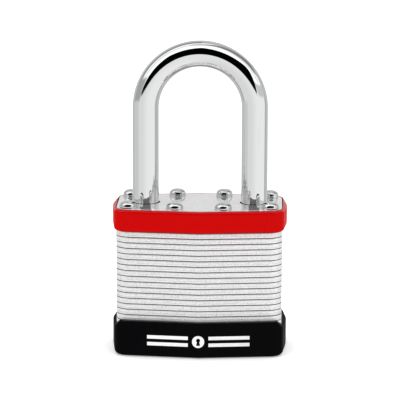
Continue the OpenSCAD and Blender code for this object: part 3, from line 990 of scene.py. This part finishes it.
def make_world(studio):
    """A white tent of panels that the shiny finishes mirror, and an even light for the rest.

    A panel is a range of directions: turn is the angle round the lock, 0 in front of it and
    positive to its right, rise the angle over the horizon, and away the angle from the camera.
    """
    world = bpy.data.worlds.new("Tent")
    bpy.context.scene.world = world
    world.use_nodes = True
    tree = world.node_tree
    n = Nodes(tree)
    where = n.add("ShaderNodeTexCoord").outputs["Generated"]
    part = n.add("ShaderNodeSeparateXYZ", {"Vector": where}).outputs
    degrees = 180 / math.pi
    ahead = n.math("MULTIPLY", part["Y"], -1.0)
    turn = n.math("MULTIPLY", n.math("ARCTAN2", part["X"], ahead), degrees)
    side = n.math("ABSOLUTE", turn)
    rise = n.math("MULTIPLY", n.math("ARCSINE", part["Z"]), degrees)

    def above(value, limit, soft=2.0):
        return n.remap(n.math("SUBTRACT", value, limit), -soft, soft)

    def below(value, limit, soft=2.0):
        return n.remap(n.math("SUBTRACT", value, limit), soft, -soft)

    def both(*masks):
        mask = masks[0]
        for other in masks[1:]:
            mask = n.math("MULTIPLY", mask, other)
        return mask

    def panel(shade, mask, level):
        return n.mix(mask, shade, (level, level, level, 1.0))

    facing = n.add("ShaderNodeVectorMath", operation="DOT_PRODUCT")
    n.put(facing.inputs[0], where)
    facing.inputs[1].default_value = studio.camera_place.normalized()
    away = n.math("MULTIPLY", n.math("ARCCOSINE", facing.outputs["Value"]), degrees)
    shade = n.mix(above(away, 150, 8), (0.66, 0.67, 0.68, 1.0), (0.74, 0.75, 0.76, 1.0))
    shade = panel(shade, both(above(side, 150, 6), below(rise, 24, 4)), 0.78)
    front = n.mix(n.remap(turn, -40, 30), (0.85, 0.85, 0.86, 1.0), (studio.tent,) * 3 + (1.0,))
    shade = n.mix(below(away, 102, 8), shade, front)
    ring = n.mix(n.remap(turn, -20, 20), (0.30, 0.30, 0.30, 1.0), (0.56, 0.56, 0.56, 1.0))
    shade = n.mix(both(above(away, 99, 2), below(away, 112, 2)), shade, ring)
    shade = panel(shade, both(below(away, 88, 4), above(rise, 14, 4)), 1.25)
    path = n.add("ShaderNodeLightPath").outputs
    first = n.math("LESS_THAN", path["Ray Depth"], 1.5)
    mask = both(below(side, 84, 4), above(rise, 57, 2), below(rise, 77, 2), first)
    shade = panel(shade, mask, studio.softbox)
    shade = panel(shade, above(rise, 77, 3), 0.90)
    shade = panel(shade, both(above(away, 73, 1), below(away, 78, 1), above(rise, 16, 3)), 0.50)
    mask = both(below(turn, -57, 4), above(turn, -112, 4), above(rise, -2, 2), below(rise, 20, 3))
    shade = panel(shade, mask, 0.52)
    mask = both(below(turn, -64, 8), above(turn, -112, 4), above(rise, -18, 3), below(rise, -2, 2))
    shade = panel(shade, mask, 0.74)
    mask = both(above(turn, 46, 4), below(turn, 112, 4), above(rise, 3, 2), below(rise, 15, 2))
    shade = panel(shade, mask, 0.72)
    shade = panel(shade, both(above(turn, 97, 3), below(turn, 138, 5), above(rise, 26, 4)), 0.34)
    shade = panel(shade, both(above(side, 97, 5), below(rise, -48, 4)), 0.38)
    high_edge = n.math("MULTIPLY_ADD", side, -0.35, 57.0)
    left_edge = n.math("MULTIPLY_ADD", rise, 0.3, -55.0)
    right_edge = n.math("MINIMUM", n.math("MULTIPLY_ADD", rise, 0.9, 36.0), 62.0)
    mask = both(
        above(rise, 1.5, 2), below(rise, high_edge, 1.5), above(turn, left_edge, 1.5),
        below(turn, right_edge, 1.5))
    shade = panel(shade, mask, 0.0)
    lift = n.remap(rise, -60, 60, smooth=False)
    even = n.mix(lift, (0.98, 0.98, 0.98, 1.0), (1.12, 1.12, 1.12, 1.0))
    light = n.mix(path["Is Glossy Ray"], even, shade)
    final = n.mix(path["Is Camera Ray"], light, (1.0, 1.0, 1.0, 1.0))
    background = tree.nodes["Background"]
    n.put(background.inputs["Color"], final)
    n.put(background.inputs["Strength"], 1.0)


def make_camera(studio):
    data = bpy.data.cameras.new("camera")
    data.lens, data.sensor_width = studio.lens, 36.0
    data.clip_start, data.clip_end = 0.05, 20.0
    camera = bpy.data.objects.new("camera", data)
    bpy.context.scene.collection.objects.link(camera)
    turn = (
        Matrix.Rotation(studio.camera_pan, 4, "Z")
        @ Matrix.Rotation(math.radians(90) - studio.camera_tilt, 4, "X")
        @ Matrix.Rotation(studio.camera_roll, 4, "Z"))
    camera.matrix_world = Matrix.Translation(studio.camera_place) @ turn
    bpy.context.scene.camera = camera


class PADLOCK_PT_panel(Panel):
    """Lists the settings and the steps"""
    bl_idname = "PADLOCK_PT_panel"
    bl_label = "Laminated padlock"
    bl_space_type = "VIEW_3D"
    bl_region_type = "UI"
    bl_category = "Padlock"

    def draw(self, context):
        scene = context.scene
        for label, settings in (
            ("Shape", scene.padlock_shape), ("Finish", scene.padlock_finish),
            ("Studio", scene.padlock_studio),
        ):
            box = self.layout.box()
            box.label(text=label)
            for key in settings.__annotations__:
                box.prop(settings, key)
        for step in STEPS:
            self.layout.operator(step.bl_idname)


SETTINGS = (PadlockShape, PadlockFinish, PadlockStudio)
STEPS = (
    PADLOCK_OT_studio, PADLOCK_OT_finishes, PADLOCK_OT_plates, PADLOCK_OT_rivets,
    PADLOCK_OT_band, PADLOCK_OT_cover, PADLOCK_OT_shackle, PADLOCK_OT_springs, PADLOCK_OT_works)


def register():
    for cls in (*SETTINGS, *STEPS, PADLOCK_PT_panel):
        bpy.utils.register_class(cls)
    bpy.types.Scene.padlock_shape = PointerProperty(type=PadlockShape)
    bpy.types.Scene.padlock_finish = PointerProperty(type=PadlockFinish)
    bpy.types.Scene.padlock_studio = PointerProperty(type=PadlockStudio)


def unregister():
    del bpy.types.Scene.padlock_studio
    del bpy.types.Scene.padlock_finish
    del bpy.types.Scene.padlock_shape
    for cls in (PADLOCK_PT_panel, *reversed(STEPS), *reversed(SETTINGS)):
        bpy.utils.unregister_class(cls)


def main():
    register()
    for step in STEPS:
        area, name = step.bl_idname.split(".")
        getattr(getattr(bpy.ops, area), name)()


if __name__ == "__main__":
    main()
